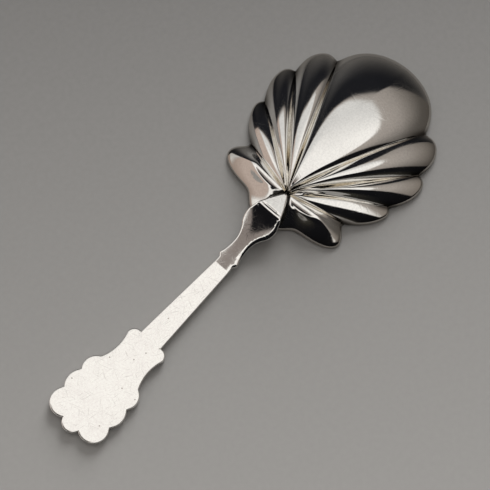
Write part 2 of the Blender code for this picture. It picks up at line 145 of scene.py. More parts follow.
def groove_radius(turn):
    """Distance from the umbo to the rim through the groove ends, on one smooth curve."""
    knots = [(-GROOVE_ANGLES[0], GROOVE_RADII[0]), (0.0, TIP_RADIUS)]
    knots += zip(GROOVE_ANGLES, GROOVE_RADII)
    knots += [(EAR_BACK_ANGLE, EAR_BACK_RADIUS), (HEEL_SIDE_ANGLE, HEEL_SIDE_RADIUS)]
    knots += [(math.pi, HEEL_RADIUS), (2.0 * math.pi - HEEL_SIDE_ANGLE, HEEL_SIDE_RADIUS)]
    for before, start, end, after in zip(knots, knots[1:], knots[2:], knots[3:]):
        if turn <= end[0]:
            break
    span = end[0] - start[0]
    leave = (end[1] - before[1]) / (end[0] - before[0]) * span
    arrive = (after[1] - start[1]) / (after[0] - start[0]) * span
    s = (turn - start[0]) / span
    rise = start[1] + s * leave + s * s * (3.0 * (end[1] - start[1]) - 2.0 * leave - arrive)
    return rise + s * s * s * (2.0 * (start[1] - end[1]) + leave + arrive)


def lobe_at(turn):
    """The lobe's number at this angle from the axis, up to EAR, and how far across it that is."""
    edges = [-GROOVE_ANGLES[0]] + GROOVE_ANGLES + [EAR_BACK_ANGLE]
    for number, (start, end) in enumerate(zip(edges, edges[1:])):
        if turn <= end:
            return number, (turn - start) / (end - start)
    return EAR + 1, 0.0


def rim_swell(turn):
    """How far the lobe at this angle stands out past the line of the groove ends."""
    number, across = lobe_at(turn)
    if turn > EAR_OUT_FOOT_ANGLE:
        return 0.0
    if turn > EAR_OUT_ANGLE:
        past = (turn - EAR_OUT_ANGLE) / (EAR_OUT_FOOT_ANGLE - EAR_OUT_ANGLE)
        return EAR_OUT * math.cos(0.5 * math.pi * past) ** EAR_OUT_BACK
    if number == EAR:
        return EAR_OUT * math.hypot(math.sin(math.pi * across) ** EAR_OUT_FRONT, NOTCH_SOFTNESS)
    arch = 1.0 - abs(2.0 * across - 1.0) ** LOBE_OUT_SQUARENESS[number]
    return LOBE_OUT[number] * math.hypot(arch, NOTCH_SOFTNESS)


def eased(turn, start, end):
    """Goes smoothly from 0 at the start angle to 1 at the end angle."""
    part = min(max((turn - start) / (end - start), 0.0), 1.0)
    return part * part * (3.0 - 2.0 * part)


def collar(share, turn):
    """How much of the height is left where the ears and the heel are turned down towards the rim."""
    width = COLLAR_AT_EAR + (COLLAR_AT_HEEL - COLLAR_AT_EAR) * eased(turn, *COLLAR_BLEND_ANGLES)
    ramp = (1.0 - share) / width
    return 0.5 * (ramp + 1.0 - math.hypot(ramp - 1.0, COLLAR_SOFTNESS))


def lobe_rise(share, angle):
    """How far the lobe at this place stands up above the dome."""
    turn = abs(angle)
    near = angle < 0.0
    number, across = lobe_at(turn)
    if number >= EAR:
        climb = (turn - GROOVE_ANGLES[-1]) / (EAR_CREST_ANGLE - GROOVE_ANGLES[-1])
        climb = 0.5 * (climb + 1.0 - math.hypot(climb - 1.0, EAR_RIDGE_SOFTNESS))
        before_heel = 1.0 - eased(turn, *HEEL_BLEND_ANGLES)
        return EAR_UP * share ** EAR_BULGE * climb * collar(share, turn) * before_heel
    side = 2.0 * across - 1.0
    skew = LOBE_NEAR_SKEW[number] if near else LOBE_FAR_SKEW[number]
    side += skew * (1.0 - side * side)
    power = LOBE_NEAR_SQUARENESS[number] if near else LOBE_FAR_SQUARENESS[number]
    arch = 1.0 - abs(side) ** power
    up = arch * (LOBE_NEAR_UP[number] if near else LOBE_FAR_UP[number])
    if number == 0:
        up += GROOVE_LIFT[near] * (1.0 - arch)
    if number == 1:
        # The first groove's lift dies away over this lobe, and its crest stays at its own height.
        groove_side = 0.5 * (1.0 - side)
        up += GROOVE_LIFT[near] * (groove_side ** 2 - 0.5 ** 2 * arch)
    lean = LOBE_NEAR_LEAN[number] if near else LOBE_FAR_LEAN[number]
    return up * share ** LOBE_BULGE[number] * math.cos(0.5 * math.pi * share ** lean)


def groove_sway(turn):
    """How far the grooves' inner ends swing round the umbo."""
    knots = [0.0] + GROOVE_ANGLES + [EAR_BACK_ANGLE, math.pi]
    sways = [0.0] + GROOVE_SWAY + [0.0, 0.0]
    for start, end, sway, next_sway in zip(knots, knots[1:], sways, sways[1:]):
        if turn <= end:
            return sway + (next_sway - sway) * (turn - start) / (end - start)
    return 0.0


def groove_nearness(reach, turn, half):
    """How much of a groove's depth is reached here, from 0 on the lobes to 1 along its bottom."""
    nearest = min(abs(turn - angle) for angle in GROOVE_ANGLES)
    distance = reach * math.sin(min(nearest, 0.5 * math.pi))
    return math.exp(-((distance / half) ** GROOVE_SQUARENESS))


def bowl_back(share, angle, depth=GROOVE_DEPTH, half=GROOVE_HALF):
    """A point of the bowl's back, at a share of the way from the umbo to the rim."""
    turn = abs(angle)
    root = groove_radius(turn)
    reach = root * share + rim_swell(turn) * share ** SPREAD_POWER
    along = root * share * math.cos(turn)
    aside = root * share * math.sin(turn)
    climb = DOME_SLOPE * along / math.hypot(1.0, along / DOME_REACH)
    crown = UMBO_HEIGHT + climb - SIDE_FALL * aside * aside
    side = min(turn / GROOVE_ANGLES[-1], 1.0)
    fullness = TIP_FULLNESS + (SIDE_FULLNESS - TIP_FULLNESS) * side
    shoulder = TIP_SHOULDER + (SIDE_SHOULDER - TIP_SHOULDER) * side
    fall = (1.0 - share ** fullness) ** shoulder
    fall += (collar(share, turn) - fall) * eased(turn, *EAR_BLEND_ANGLES)
    height = RIM_LIP + (crown - RIM_LIP) * fall
    lean = math.cos(0.5 * math.pi * share ** GROOVE_LEAN)
    relief = lobe_rise(share, angle) - depth * groove_nearness(reach, turn, half) * lean
    height += relief * (1.0 - math.exp(-((reach / RELIEF_START) ** 2)))
    rolled = min(max(1.0 - (1.0 - share) * reach / RIM_ROLL, 0.0), 1.0)
    height -= RIM_ROLL * (1.0 - math.sqrt(1.0 - rolled * rolled))
    swung = angle + math.copysign(groove_sway(turn) * (1.0 - share), angle)
    shift = UMBO_SHIFT * (1.0 - share)
    x = UMBO_X + shift.x + reach * math.cos(swung)
    y = shift.y + reach * math.sin(swung)
    return Vector((x, y, height))


def bowl_soft_back(share, angle):
    """A point of the back as its inside follows it, with shallow and wide grooves."""
    return bowl_back(share, angle, INSIDE_GROOVE_DEPTH, INSIDE_GROOVE_HALF)


def bowl_inside(share, angle):
    """A point of the bowl's inside, a sheet's thickness under the back."""
    probe = INSIDE_PROBE
    near = min(max(share, INSIDE_MIDDLE_SHARE), 1.0 - probe)
    across = bowl_soft_back(near, angle + probe) - bowl_soft_back(near, angle - probe)
    outward = bowl_soft_back(near + probe, angle) - bowl_soft_back(near - probe, angle)
    sloped = outward.cross(across).normalized()
    upright = Vector((0.0, 0.0, 1.0))
    normal = upright.lerp(sloped, min(share / INSIDE_LEVEL_SHARE, 1.0)).normalized()
    point = bowl_soft_back(share, angle) - SHEET * normal
    point.z = max(point.z, RIM_ROUND)
    return point


def bowl_angles():
    """The mesh's angles round the umbo, crowded towards the grooves."""
    half = [0.0]
    for step in range(1, CENTRE_COLUMNS + 1):
        t = step / CENTRE_COLUMNS
        half.append(GROOVE_ANGLES[0] * (t + COLUMN_CROWDING * math.sin(math.pi * t) / math.pi))
    stops = GROOVE_ANGLES + [EAR_BACK_ANGLE]
    counts = [LOBE_COLUMNS] * (EAR - 1) + [EAR_COLUMNS]
    for start, end, count in zip(stops, stops[1:], counts):
        for step in range(1, count + 1):
            t = step / count
            crowded = t - COLUMN_CROWDING * math.sin(2.0 * math.pi * t) / (2.0 * math.pi)
            half.append(start + (end - start) * crowded)
    for step in range(1, HEEL_COLUMNS + 1):
        half.append(EAR_BACK_ANGLE + (math.pi - EAR_BACK_ANGLE) * step / HEEL_COLUMNS)
    return [-angle for angle in reversed(half[1:])] + half


def bowl_column(angle):
    """One line of points from the umbo down the back, round the rim's edge and up the inside."""
    shares = [1.0 - (1.0 - row / BACK_ROWS) ** ROW_CROWDING for row in range(BACK_ROWS + 1)]
    line = [(bowl_back(share, angle), share) for share in shares]
    rim = line[-1][0]
    inner = bowl_inside(1.0, angle)
    inward = (inner - rim) * Vector((1.0, 1.0, 0.0))
    for into, up in RIM_ROUND_STEPS:
        edge = rim + inward * (into * RIM_ROUND / SHEET)
        line.append((Vector((edge.x, edge.y, up * RIM_ROUND)), 1.0))
    for into, up in reversed(RIM_ROUND_STEPS):
        edge = inner - inward * (into * RIM_ROUND / SHEET)
        line.append((Vector((edge.x, edge.y, up * RIM_ROUND)), 1.0))
    for row in range(INSIDE_ROWS, -1, -1):
        share = 1.0 - (1.0 - row / INSIDE_ROWS) ** ROW_CROWDING
        line.append((bowl_inside(share, angle), share))
    return line


angles = bowl_angles()
lines = [bowl_column(angle) for angle in angles]
rows = len(lines[0])
bpy.ops.object.select_all(action="DESELECT")
bpy.ops.mesh.primitive_grid_add(x_subdivisions=len(angles) - 1, y_subdivisions=rows - 1, size=2.0)
bowl = bpy.context.active_object
bowl.name = "shell_bowl"
for mark in ("groove", "towards_rim", "notch"):
    bowl.data.attributes.new(mark, "FLOAT", "POINT")
groove_mark = bowl.data.attributes["groove"].data
rim_mark = bowl.data.attributes["towards_rim"].data
notch_mark = bowl.data.attributes["notch"].data
for vert in bowl.data.vertices:
    column = vert.index % len(angles)
    row = vert.index // len(angles)
    vert.co, share = lines[column][row]
    turn = abs(angles[column])
    reach = groove_radius(turn) * share + rim_swell(turn) * share ** SPREAD_POWER
    outside = 1.0 if row <= BACK_ROWS else TARNISH_INSIDE
    groove_mark[vert.index].value = outside * groove_nearness(reach, turn, TARNISH_HALF)
    rim_mark[vert.index].value = share
    notch_mark[vert.index].value = groove_nearness(reach, turn, NOTCH_HALF) * eased(share, *NOTCH_SHARES)
bpy.ops.object.mode_set(mode="EDIT")
bpy.ops.mesh.select_all(action="SELECT")
bpy.ops.mesh.remove_doubles(threshold=WELD_DISTANCE)
bpy.ops.mesh.normals_make_consistent(inside=False)
bpy.ops.object.mode_set(mode="OBJECT")
bpy.ops.object.shade_smooth_by_angle(angle=BOWL_CREASE_ANGLE)


def add_node(tree, kind, inputs, **settings):
    """Adds a shader node with its settings, and sets or links its inputs."""
    made = tree.nodes.new(kind)
    for name, value in settings.items():
        setattr(made, name, value)
    for name, value in inputs.items():
        if isinstance(value, bpy.types.NodeSocket):
            tree.links.new(value, made.inputs[name])
        else:
            made.inputs[name].default_value = value
    return made


def laid_over(tree, mask, under, colour):
    """Mixes a colour over another where the mask is 1, and gives the mixed colour."""
    mixed = add_node(tree, "ShaderNodeMix", {"Factor": mask, "A": under, "B": colour}, data_type="RGBA")
    return mixed.outputs["Result"]


def new_group(name, inputs, outputs):
    """An empty shader node group with named sockets, and its two end nodes."""
    group = bpy.data.node_groups.new(name, "ShaderNodeTree")
    for socket, kind, value in inputs:
        made = group.interface.new_socket(socket, in_out="INPUT", socket_type=kind)
        if value is not None:
            made.default_value = value
    for socket, kind in outputs:
        group.interface.new_socket(socket, in_out="OUTPUT", socket_type=kind)
    return group, group.nodes.new("NodeGroupInput"), group.nodes.new("NodeGroupOutput")


# Hairline scratches from wiping and polishing, in five directions.
SCRATCH_TURNS = [math.radians(degrees) for degrees in (12.0, 71.0, -38.0, 34.0, -66.0)]
SCRATCH_EDGE = 0.12
scratches, given, result = new_group(
    "wiping_scratches",
    [
        ("Vector", "NodeSocketVector", None),
        ("Fineness", "NodeSocketFloat", 1800.0),
        ("Length", "NodeSocketFloat", 70.0),
        ("Sparseness", "NodeSocketFloat", 0.62),
    ],
    [("Scratch", "NodeSocketFloat")],
)
sparseness = given.outputs["Sparseness"]
hair_length = given.outputs["Length"]
fineness = given.outputs["Fineness"]
ceiling = add_node(scratches, "ShaderNodeMath", {0: sparseness, 1: SCRATCH_EDGE}, operation="ADD")
stretch = add_node(scratches, "ShaderNodeCombineXYZ", {"X": hair_length, "Y": fineness, "Z": hair_length})
deepest = None
for turn in SCRATCH_TURNS:
    turned = add_node(
        scratches, "ShaderNodeVectorRotate", {"Vector": given.outputs["Vector"], "Angle": turn},
        rotation_type="Z_AXIS",
    )
    drawn = add_node(
        scratches, "ShaderNodeVectorMath", {0: turned.outputs[0], 1: stretch.outputs[0]},
        operation="MULTIPLY",
    )
    noise = add_node(
        scratches, "ShaderNodeTexNoise", {"Vector": drawn.outputs[0], "Scale": 1.0, "Detail": 1.0}
    )
    line = add_node(
        scratches, "ShaderNodeMapRange",
        {"Value": noise.outputs["Fac"], "From Min": sparseness, "From Max": ceiling.outputs[0]},
    ).outputs[0]
    if deepest:
        deeper = add_node(scratches, "ShaderNodeMath", {0: deepest, 1: line}, operation="MAXIMUM")
        deepest = deeper.outputs[0]
    else:
        deepest = line
scratches.links.new(deepest, result.inputs["Scratch"])

# Cloudy wear: patches where the polish has gone dull, a fine blushed speckle, and small dark pits.
CLOUD_RANGE = (0.35, 0.75)
SPECKLE_SCALE = 2600.0
SPECKLE_CLOUDING = 0.2
SPECKLE_RANGE = (0.4, 0.85)
PIT_RANGE = (0.07, 0.03)
PIT_RARITY = 0.8
WAVE_SCALE = 330.0
wear, given, result = new_group(
    "cloudy_wear",
    [
        ("Vector", "NodeSocketVector", None),
        ("Patch Scale", "NodeSocketFloat", 180.0),
        ("Pit Scale", "NodeSocketFloat", 260.0),
    ],
    [
        ("Dullness", "NodeSocketFloat"),
        ("Speckle", "NodeSocketFloat"),
        ("Pits", "NodeSocketFloat"),
        ("Waviness", "NodeSocketFloat"),
    ],
)
where = given.outputs["Vector"]
cloud = add_node(
    wear, "ShaderNodeTexNoise", {"Vector": where, "Scale": given.outputs["Patch Scale"], "Detail": 5.0}
)
dull = add_node(
    wear, "ShaderNodeMapRange",
    {"Value": cloud.outputs["Fac"], "From Min": CLOUD_RANGE[0], "From Max": CLOUD_RANGE[1]},
)
grain = add_node(wear, "ShaderNodeTexNoise", {"Vector": where, "Scale": SPECKLE_SCALE, "Detail": 3.0})
blush = add_node(
    wear, "ShaderNodeMath", {0: dull.outputs[0], 1: SPECKLE_CLOUDING, 2: grain.outputs["Fac"]},
    operation="MULTIPLY_ADD",
)
speckle = add_node(
    wear, "ShaderNodeMapRange",
    {"Value": blush.outputs[0], "From Min": SPECKLE_RANGE[0], "From Max": SPECKLE_RANGE[1]},
)
cells = add_node(
    wear, "ShaderNodeTexVoronoi",
    {"Vector": where, "Scale": given.outputs["Pit Scale"], "Randomness": 1.0},
    voronoi_dimensions="2D",
)
dot = add_node(
    wear, "ShaderNodeMapRange",
    {"Value": cells.outputs["Distance"], "From Min": PIT_RANGE[0], "From Max": PIT_RANGE[1]},
)
lot = add_node(wear, "ShaderNodeSeparateColor", {"Color": cells.outputs["Color"]})
few = add_node(wear, "ShaderNodeMath", {0: lot.outputs[0], 1: PIT_RARITY}, operation="GREATER_THAN")
pits = add_node(wear, "ShaderNodeMath", {0: dot.outputs[0], 1: few.outputs[0]}, operation="MULTIPLY")
swell = add_node(wear, "ShaderNodeTexNoise", {"Vector": where, "Scale": WAVE_SCALE, "Detail": 1.0})
wear.links.new(dull.outputs[0], result.inputs["Dullness"])
wear.links.new(speckle.outputs[0], result.inputs["Speckle"])
wear.links.new(pits.outputs[0], result.inputs["Pits"])
wear.links.new(swell.outputs["Fac"], result.inputs["Waviness"])

# Finish of the bowl: polished silver, its colour greyer towards the rim, with tarnish along the grooves.
SCRATCH_DEPTH = 0.002 * MM
SCRATCH_ROUGHNESS = 0.04
BOWL_POLISH = 0.05
BOWL_DULLEST = 0.11
BOWL_WAVES = 0.006 * MM
BOWL_SILVER = (0.91, 0.895, 0.865, 1.0)
BOWL_BLUSH = (0.81, 0.795, 0.77, 1.0)
TARNISH = (0.80, 0.75, 0.66, 1.0)
TARNISH_FULL_AT = 0.8
TARNISH_MOST = 0.75
RIM_GREY = (0.50, 0.47, 0.43, 1.0)
RIM_GREY_START = 0.80
NOTCH_PAINTED_SHADE = (0.10, 0.09, 0.08, 1.0)


def silver_material(name, polish, dullest, wave_height):
    """Polished silver with its wear; gives the material, its tree, its shader and its two wear groups."""
    material = bpy.data.materials.new(name)
    material.use_nodes = True
    tree = material.node_tree
    shader = tree.nodes["Principled BSDF"]
    shader.inputs["Metallic"].default_value = 1.0
    place = add_node(tree, "ShaderNodeTexCoord", {})
    marks = add_node(tree, "ShaderNodeGroup", {}, node_tree=scratches)
    cloudy = add_node(tree, "ShaderNodeGroup", {}, node_tree=wear)
    tree.links.new(place.outputs["Object"], marks.inputs["Vector"])
    tree.links.new(place.outputs["Object"], cloudy.inputs["Vector"])
    rough = add_node(
        tree, "ShaderNodeMapRange",
        {"Value": cloudy.outputs["Dullness"], "To Min": polish, "To Max": dullest},
    )
    scored = add_node(
        tree, "ShaderNodeMath", {0: marks.outputs["Scratch"], 1: SCRATCH_ROUGHNESS, 2: rough.outputs[0]},
        operation="MULTIPLY_ADD",
    )
    tree.links.new(scored.outputs[0], shader.inputs["Roughness"])
    waves = add_node(
        tree, "ShaderNodeBump",
        {"Height": cloudy.outputs["Waviness"], "Distance": wave_height, "Strength": 1.0},
    )
    scores = add_node(
        tree, "ShaderNodeBump",
        {
            "Height": marks.outputs["Scratch"],
            "Distance": SCRATCH_DEPTH,
            "Strength": 1.0,
            "Normal": waves.outputs[0],
        },
        invert=True,
    )
    tree.links.new(scores.outputs[0], shader.inputs["Normal"])
    return material, tree, shader, marks, cloudy


bowl_material, tree, shader, marks, cloudy = silver_material(
    "chased_bowl_silver", BOWL_POLISH, BOWL_DULLEST, BOWL_WAVES
)
in_groove = add_node(tree, "ShaderNodeAttribute", {}, attribute_name="groove")
stain = add_node(
    tree, "ShaderNodeMath", {0: in_groove.outputs["Fac"], 1: cloudy.outputs["Dullness"]},
    operation="MULTIPLY",
)
stained = add_node(
    tree, "ShaderNodeMapRange",
    {"Value": stain.outputs[0], "From Max": TARNISH_FULL_AT, "To Max": TARNISH_MOST},
)
at_rim = add_node(tree, "ShaderNodeAttribute", {}, attribute_name="towards_rim")
rim_greying = add_node(
    tree, "ShaderNodeMapRange",
    {"Value": at_rim.outputs["Fac"], "From Min": RIM_GREY_START, "From Max": 1.0},
)
in_notch = add_node(tree, "ShaderNodeAttribute", {}, attribute_name="notch")
colour = laid_over(tree, cloudy.outputs["Speckle"], BOWL_SILVER, BOWL_BLUSH)
colour = laid_over(tree, stained.outputs[0], colour, TARNISH)
# Greyer towards the rim: the base colour darkens over the last fifth of the way out to the rim, on the back
# and inside.
colour = laid_over(tree, rim_greying.outputs[0], colour, RIM_GREY)
# Painted shade: the rim's notches are darkened almost to black, standing in for the shade between the lobes.
colour = laid_over(tree, in_notch.outputs["Fac"], colour, NOTCH_PAINTED_SHADE)
tree.links.new(colour, shader.inputs["Base Color"])
bowl.data.materials.append(bowl_material)
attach(bowl, "root")
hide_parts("bowl")

# Solder: a thin skin of silver solder, run in with a torch between the bowl's back and the handle's lap.
# It shows as a dull dark line around the lap: tarnish where no polishing cloth reaches, and painted shade in
# the crease between lap and bowl.
HANDLE_ASIDE = -1.0 * MM
HANDLE_TURN = math.radians(0.83)
LAP_PAST_UMBO = 0.05 * MM
LAP_TIP_LENGTH = 0.35 * MM
LAP_TIP_WIDTH = 1.2 * MM
LAP_TIP_BOW = 0.12 * MM
LAP_EDGE_LENGTH = 6.55 * MM
LAP_EDGE_BOW = 0.22 * MM
LAP_WIDTH = 7.2 * MM
SOLDER_THICKNESS = 0.3 * MM
SOLDER_SHOWING = 0.55 * MM
SOLDER_ASIDE = 0.22 * MM
SOLDER_LENGTH = 4.6 * MM
SOLDER_BEDDED = 0.05 * MM
SOLDER_FILLET = 0.6 * MM
SOLDER_FILLET_POWER = 1.3
SOLDER_UNDER_LAP = 0.05 * MM
SOLDER_RINGS = [0.12 * MM, 0.14 * MM, 0.16 * MM, 0.08 * MM, 0.1 * MM]
SOLDER_CUTS = 14
SOLDER_SIDE_CUTS = 15
SOLDER_CUT_REACH = 3.0 * MM
ARC_STEPS = 14
BLANK_THICKNESS = 1.0 * MM
PLATE_CREASE_ANGLE = math.radians(50.0)
FLATS_WEIGHT = 100
ABOVE_SPOON = 50.0 * MM
AXIS_TOLERANCE = 1e-9

lap_tip_place = Matrix.Translation((UMBO_X + LAP_PAST_UMBO, HANDLE_ASIDE, 0.0))
handle_place = lap_tip_place @ Matrix.Rotation(HANDLE_TURN, 4, "Z")


def bowl_height_at(place):
    """Height of the bowl's back above a place on the table, or 0 beside the bowl."""
    found, hit, _, _ = bowl.ray_cast(Vector((place.x, place.y, ABOVE_SPOON)), Vector((0.0, 0.0, -1.0)))
    return hit.z if found else 0.0


def arc_points(start, end, bow):
    """Points after start on the arc to end, which swells by bow to the right of the way."""
    if bow == 0.0:
        return [end]
    chord = end - start
    half = 0.5 * chord.length
    right = Vector((chord.y, -chord.x)).normalized()
    radius = (half * half + bow * bow) / (2.0 * bow)
    centre = start + 0.5 * chord + right * (bow - radius)
    opening = 4.0 * math.atan(bow / half)
    points = []
    for step in range(1, ARC_STEPS + 1):
        arm = start - centre
        arm.rotate(Matrix.Rotation(opening * step / ARC_STEPS, 2))
        points.append(centre + arm)
    return points


def whole_outline(steps):
    """The outline through steps of length, full width and the next arc's bow, and its mirror image."""
    back = 0.0
    path = []
    bow = 0.0
    for length, width, next_bow in steps:
        back += length
        stop = Vector((-back, 0.5 * width))
        path += arc_points(path[-1], stop, bow) if path else [stop]
        bow = next_bow
    return path + [Vector((point.x, -point.y)) for point in reversed(path) if point.y > AXIS_TOLERANCE]


def cut_plate(name, outline, insets, cuts_back, cuts_side):
    """A flat blank inside an outline, with rings inset along its edge and cuts where it will bend.

    Each inset moves the innermost ring's points on and leaves new ones where they were, so the first
    inset's points end up innermost, and the later ones' points follow from the outline inwards.
    """
    bpy.ops.object.select_all(action="DESELECT")
    bpy.ops.mesh.primitive_circle_add(vertices=len(outline), radius=1.0, fill_type="NGON")
    plate = bpy.context.active_object
    plate.name = name
    for vert, point in zip(plate.data.vertices, outline):
        vert.co = (point.x, point.y, 0.0)
    bpy.ops.object.mode_set(mode="EDIT")
    bpy.ops.mesh.select_all(action="SELECT")
    for inset in insets:
        bpy.ops.mesh.inset(thickness=inset, depth=0.0, use_boundary=True, use_even_offset=False)
    bpy.ops.object.mode_set(mode="OBJECT")
    edge = plate.data.attributes.new("from_edge", "FLOAT", "POINT")
    rings = [0, len(insets)] + list(range(1, len(insets)))
    for vert in plate.data.vertices:
        edge.data[vert.index].value = sum(insets[: rings[vert.index // len(outline)]])
    bpy.ops.object.mode_set(mode="EDIT")
    for back in cuts_back:
        bpy.ops.mesh.select_all(action="SELECT")
        bpy.ops.mesh.bisect(plane_co=(-back, 0.0, 0.0), plane_no=(1.0, 0.0, 0.0))
    for side in cuts_side:
        bpy.ops.mesh.select_all(action="SELECT")
        bpy.ops.mesh.bisect(plane_co=(0.0, side, 0.0), plane_no=(0.0, 1.0, 0.0))
    bpy.ops.mesh.select_all(action="SELECT")
    bpy.ops.mesh.extrude_region_move(TRANSFORM_OT_translate={"value": (0.0, 0.0, -BLANK_THICKNESS)})
    bpy.ops.mesh.select_all(action="SELECT")
    bpy.ops.mesh.normals_make_consistent(inside=False)
    bpy.ops.object.mode_set(mode="OBJECT")
    return plate


def edge_drop(from_edge, radius):
    """How far a rounded edge of this radius has dropped at a distance in from the outline."""
    inside = min(from_edge / radius, 1.0)
    return radius * (1.0 - math.sqrt(1.0 - (1.0 - inside) ** 2))


def finish_plate(plate):
    """Sets the plate in its place on the bowl and shades it as one smooth skin, with its flats kept flat."""
    plate.data.transform(handle_place)
    bpy.ops.object.shade_smooth_by_angle(angle=PLATE_CREASE_ANGLE)
    flats = plate.modifiers.new("flats", "WEIGHTED_NORMAL")
    flats.keep_sharp = True
    flats.weight = FLATS_WEIGHT
    flats.thresh = 0.0
    bpy.ops.object.modifier_apply(modifier=flats.name)


def spread(start, end, count):
    """Evenly spaced values from start to end, both among them."""
    return [start + (end - start) * step / count for step in range(count + 1)]


along_edge = (SOLDER_LENGTH - LAP_TIP_LENGTH) / LAP_EDGE_LENGTH
solder_width = LAP_TIP_WIDTH + (LAP_WIDTH - LAP_TIP_WIDTH) * along_edge
solder_steps = [
    (-SOLDER_SHOWING, 0.0, LAP_TIP_BOW),
    (LAP_TIP_LENGTH, LAP_TIP_WIDTH + 2.0 * SOLDER_SHOWING, LAP_EDGE_BOW),
    (SOLDER_LENGTH - LAP_TIP_LENGTH + SOLDER_SHOWING, solder_width + 2.0 * SOLDER_SHOWING, 0.0),
    (0.0, 0.0, 0.0),
]
solder_cuts = spread(0.0, SOLDER_LENGTH, SOLDER_CUTS)[:-1]
solder_side_cuts = spread(-SOLDER_CUT_REACH, SOLDER_CUT_REACH, SOLDER_SIDE_CUTS)
solder_outline = whole_outline(solder_steps)
solder = cut_plate("solder_line", solder_outline, SOLDER_RINGS, solder_cuts, solder_side_cuts)
solder.data.transform(Matrix.Translation((0.0, SOLDER_ASIDE, 0.0)))
from_edge = [mark.value for mark in solder.data.attributes["from_edge"].data]
for vert in solder.data.vertices:
    ground = bowl_height_at(handle_place @ vert.co)
    inside = from_edge[vert.index]
    if vert.co.z < -0.5 * BLANK_THICKNESS:
        vert.co.z = ground - SOLDER_BEDDED
    elif inside > SOLDER_SHOWING + SOLDER_UNDER_LAP:
        vert.co.z = ground + SOLDER_THICKNESS
    else:
        vert.co.z = ground + SOLDER_FILLET * (inside / SOLDER_SHOWING) ** SOLDER_FILLET_POWER
finish_plate(solder)

SOLDER_TARNISH_SHADE_GREY = (0.06, 0.055, 0.05, 1.0)
SOLDER_TARNISH_SHADE_DARK = (0.008, 0.0075, 0.007, 1.0)
SOLDER_PATCHES = 900.0
SOLDER_ROUGHNESS = (0.3, 0.55)
SOLDER_LUMPS = 0.02 * MM
solder_material = bpy.data.materials.new("dull_silver_solder")
solder_material.use_nodes = True
tree = solder_material.node_tree
shader = tree.nodes["Principled BSDF"]
shader.inputs["Metallic"].default_value = 1.0
place = add_node(tree, "ShaderNodeTexCoord", {})
cloudy = add_node(
    tree, "ShaderNodeGroup", {"Vector": place.outputs["Object"], "Patch Scale": SOLDER_PATCHES},
    node_tree=wear,
)
dullness = cloudy.outputs["Dullness"]
# Tarnish and painted shade: the solder's colour is taken almost to black to stand in for the shade in the
# crease round the lap.
tree.links.new(laid_over(tree, dullness, SOLDER_TARNISH_SHADE_GREY, SOLDER_TARNISH_SHADE_DARK), shader.inputs["Base Color"])
rough = add_node(
    tree, "ShaderNodeMapRange",
    {"Value": dullness, "To Min": SOLDER_ROUGHNESS[0], "To Max": SOLDER_ROUGHNESS[1]},
)
tree.links.new(rough.outputs[0], shader.inputs["Roughness"])
lumps = add_node(tree, "ShaderNodeBump", {"Height": dullness, "Distance": SOLDER_LUMPS, "Strength": 1.0})
tree.links.new(lumps.outputs[0], shader.inputs["Normal"])
solder.data.materials.append(solder_material)
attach(solder, "root")
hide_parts("solder_seam")

# Handle: one flat piece sawn from thick silver sheet, with an outline of lobes at its end.
# Its neck is bent up on to the bowl's back and filed hollow, with a bevel along each edge.
# Its pointed lap is soldered down at the umbo, with a fine line cut across it beside the crease.
HANDLE_THICKNESS = 1.6 * MM
EDGE_ROUND = 0.24 * MM
EDGE_RINGS = [0.02 * MM, 0.05 * MM, 0.07 * MM, 0.2 * MM, 0.22 * MM]
LAP_TIP_THICKNESS = 0.6 * MM
LAP_FALL = 0.8 * MM
LAP_BEDDED = 0.02 * MM
CREASE_BACK = 5.1 * MM
NECK_ROUND_LENGTH = 3.1 * MM
NECK_ROUND_WIDTH = 5.25 * MM
NECK_ROUND_BOW = 0.35 * MM
NECK_TAPER_LENGTH = 3.5 * MM
NECK_TAPER_BOW = 0.3 * MM
NECK_WAIST = 3.3 * MM
NECK_FLARE_LENGTH = 2.9 * MM
NECK_FLARE_BOW = 0.12 * MM
NECK_HOLLOW = 0.39 * MM
NECK_NEAR_BEVEL = 0.45 * MM
NECK_FAR_BEVEL = 0.14 * MM
NECK_BEVEL_SLOPE = math.tan(math.radians(36.0))
CREASE_LINE_GAP = 0.7 * MM
CREASE_LINE_DEPTH = 0.14 * MM
CREASE_LINE_HALF = 0.14 * MM
CREASE_LINE_REACH = 0.36 * LAP_WIDTH
CREASE_LINE_FADE = 0.2 * LAP_WIDTH
NECK_CROWN = 0.038 / MM
FILED_RUN_OUT = 1.3
NECK_FOOT_SLOPE = 0.255
NECK_STEEPENING = 5.0
BEND_PAST_SHOULDER = 1.6 * MM
SHOULDER_WIDTH = 4.3 * MM
SHOULDER_LENGTH = 0.6 * MM
SHOULDER_BOW = 0.1 * MM
SHOULDER_STEP = 0.5 * MM
STEM_LENGTH = 21.2 * MM
STEM_FRONT_WIDTH = 3.5 * MM
STEM_BACK_WIDTH = 5.1 * MM
TAB_WIDTH = 9.0 * MM
TAB_LENGTH = 1.7 * MM
TAB_BOW = 0.65 * MM
HOLLOW_LENGTH = 6.95 * MM
HOLLOW_BOW = 0.7 * MM
TERMINAL_ROOT_WIDTH = 9.8 * MM
TERMINAL_NOTCH_WIDTH = 11.9 * MM
SIDE_LOBE_1_LENGTH = 4.3 * MM
SIDE_LOBE_1_BOW = 1.1 * MM
SIDE_LOBE_2_LENGTH = 4.7 * MM
SIDE_LOBE_2_BOW = 0.93 * MM
CORNER_LENGTH = 4.45 * MM
CORNER_BOW = 2.65 * MM
END_NOTCH_WIDTH = 4.0 * MM
END_LOBE_LENGTH = 1.45 * MM
END_LOBE_BOW = 0.4 * MM
LAP_CUT_START = 0.2 * MM
LAP_CUTS = 24
LINE_CUTS = 10
NECK_CUTS = 36
SIDE_CUTS = 22
SIDE_CUT_REACH = 3.4 * MM

